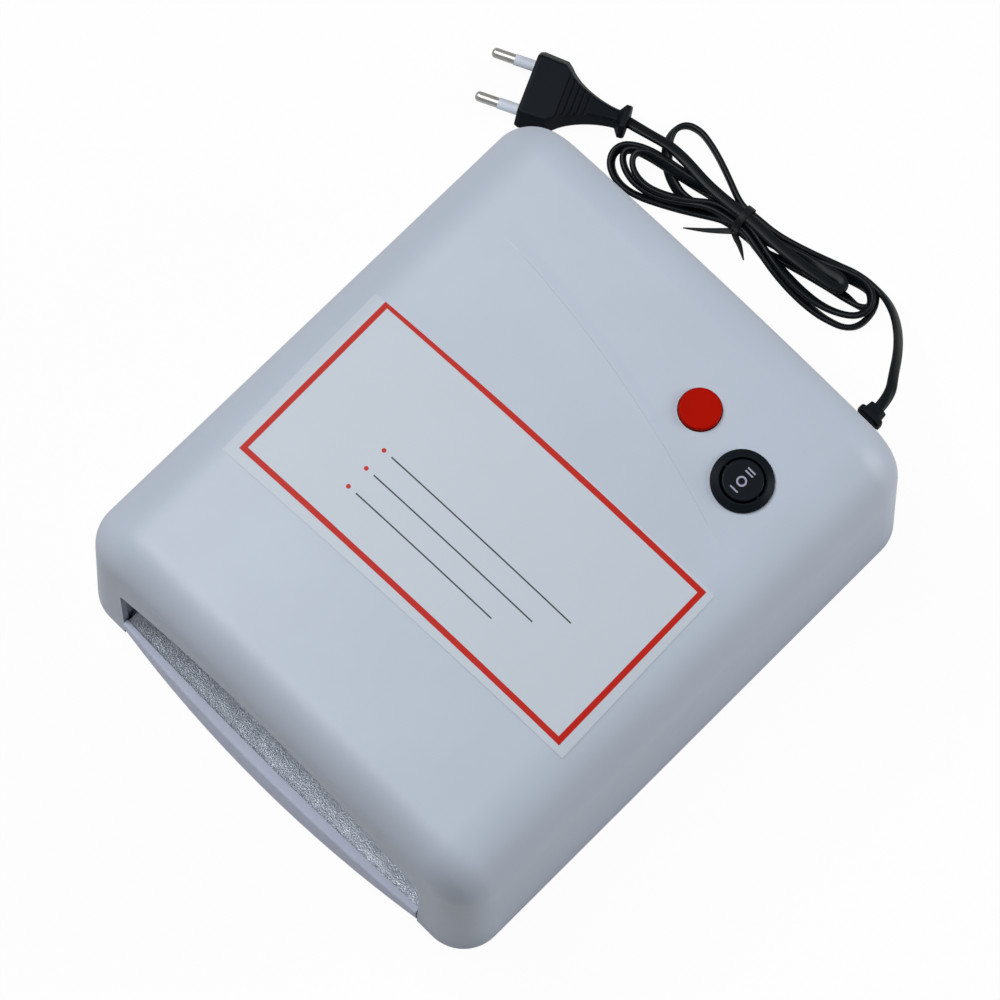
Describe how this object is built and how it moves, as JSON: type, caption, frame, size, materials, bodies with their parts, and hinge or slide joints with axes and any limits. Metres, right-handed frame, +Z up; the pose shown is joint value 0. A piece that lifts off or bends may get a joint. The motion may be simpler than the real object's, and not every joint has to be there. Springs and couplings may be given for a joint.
{
  "type": "photopolymer exposure unit",
  "caption": "Bench-top ultraviolet exposure box for photopolymer stamps: crowned white case, arched front with a slide-out tray, U-shaped lamps, timer button, rocker switch and tied mains cord.",
  "frame": {"origin": "on the table, under the middle of the case and drawer lip together, without the cord", "axes": "+X to the right as seen from the drawer, +Y to the rear where the cord leaves, +Z up"},
  "size_m": [0.2392, 0.2992, 0.0963],
  "materials": {
    "case_white": "satin ABS moulding, cool white",
    "base_white": "matt ABS moulding, cool white",
    "drawer_white": "satin ABS moulding, cool white",
    "liner_silver": "crinkled reflective foil",
    "foot_rubber": "moulded rubber",
    "screw_steel": "zinc plated",
    "reflector_chrome": "vacuum metallised",
    "spring_steel": "spring steel",
    "pin_brass": "plain brass",
    "pin_nickel": "nickel plated brass",
    "sleeve_white": "moulded insulating sleeve",
    "switch_black": "satin moulding",
    "rocker_black": "satin moulding with white marks",
    "button_red": "satin moulding",
    "board_green": "phenolic board with solder resist",
    "coil_copper": "taped winding on a ferrite core",
    "capacitor_sleeve": "shrink sleeve with bare aluminium top",
    "film_red": "dipped epoxy",
    "chip_black": "moulded epoxy",
    "relay_blue": "moulded cover",
    "fuse_glass": "glass body with plated caps",
    "connector_white": "nylon",
    "bush_black": "nylon",
    "cord_black": "flat twin lead with a PVC sheath",
    "tie_black": "plastic coated wire",
    "plug_black": "moulded PVC",
    "label_film": "laminated sticker with a red border",
    "lamp_glass": "phosphor coated glass",
    "lamp_base_white": "PBT moulding",
    "socket_white": "PBT moulding"
  },
  "bodies": {
    "case": {"upper_case": "case_white", "base_plate": "base_white", "rubber_feet": "foot_rubber", "case_screws": "screw_steel", "mouth_cheeks": "liner_silver", "reflector_housing": "reflector_chrome", "reflector_screws": "screw_steel", "lamp_pins": "pin_brass", "lamp_clips": "spring_steel", "switch_housing": "switch_black", "switch_terminals": "pin_brass", "button_spring": "spring_steel", "push_switch_body": "switch_black", "timer_board": "board_green", "timer_board_screws": "screw_steel", "circuit_board": "board_green", "board_screws": "screw_steel", "ballast_coils": "coil_copper", "bulk_capacitors": "capacitor_sleeve", "film_capacitors": "film_red", "power_transistors": "chip_black", "timer_relay": "relay_blue", "timer_chip": "chip_black", "mains_fuse": "fuse_glass", "board_connectors": "connector_white", "strain_relief": "bush_black", "cord_clamp": "bush_black", "clamp_screws": "screw_steel", "power_cord": "cord_black", "cord_hank": "cord_black", "cord_tie": "tie_black", "plug_cord": "cord_black", "plug_body": "plug_black", "plug_pins": "pin_nickel", "plug_pin_sleeves": "sleeve_white", "label_panel": "label_film", "lamp_tube_left_roof": "lamp_glass", "lamp_base_left_roof": "lamp_base_white", "lamp_socket_left_roof": "socket_white", "lamp_tube_left_side": "lamp_glass", "lamp_base_left_side": "lamp_base_white", "lamp_socket_left_side": "socket_white", "lamp_tube_right_roof": "lamp_glass", "lamp_base_right_roof": "lamp_base_white", "lamp_socket_right_roof": "socket_white", "lamp_tube_right_side": "lamp_glass", "lamp_base_right_side": "lamp_base_white", "lamp_socket_right_side": "socket_white"},
    "drawer": {"drawer_tray": "drawer_white", "tray_liner": "liner_silver"},
    "timer_button": {"timer_button_cap": "button_red", "button_plunger": "connector_white"},
    "rocker": {"switch_rocker": "rocker_black"}
  },
  "joints": [
    {"name": "drawer_slide", "type": "slide", "parent": "case", "child": "drawer", "axis": [0, -1, 0], "range_m": [0, 0.165]},
    {"name": "timer_button_press", "type": "slide", "parent": "case", "child": "timer_button", "axis": [0, 0, -1], "range_m": [0, 0.0025], "stiffness_N_per_m": 500, "springref_m": -0.003, "deforming": ["button_spring"]},
    {"name": "switch_rock", "type": "hinge", "parent": "case", "child": "rocker", "pos_m": [0.05817, 0.06585, 0.09222], "axis": [0.9967, 0, -0.0818], "range_deg": [-11, 11]}
  ]
}
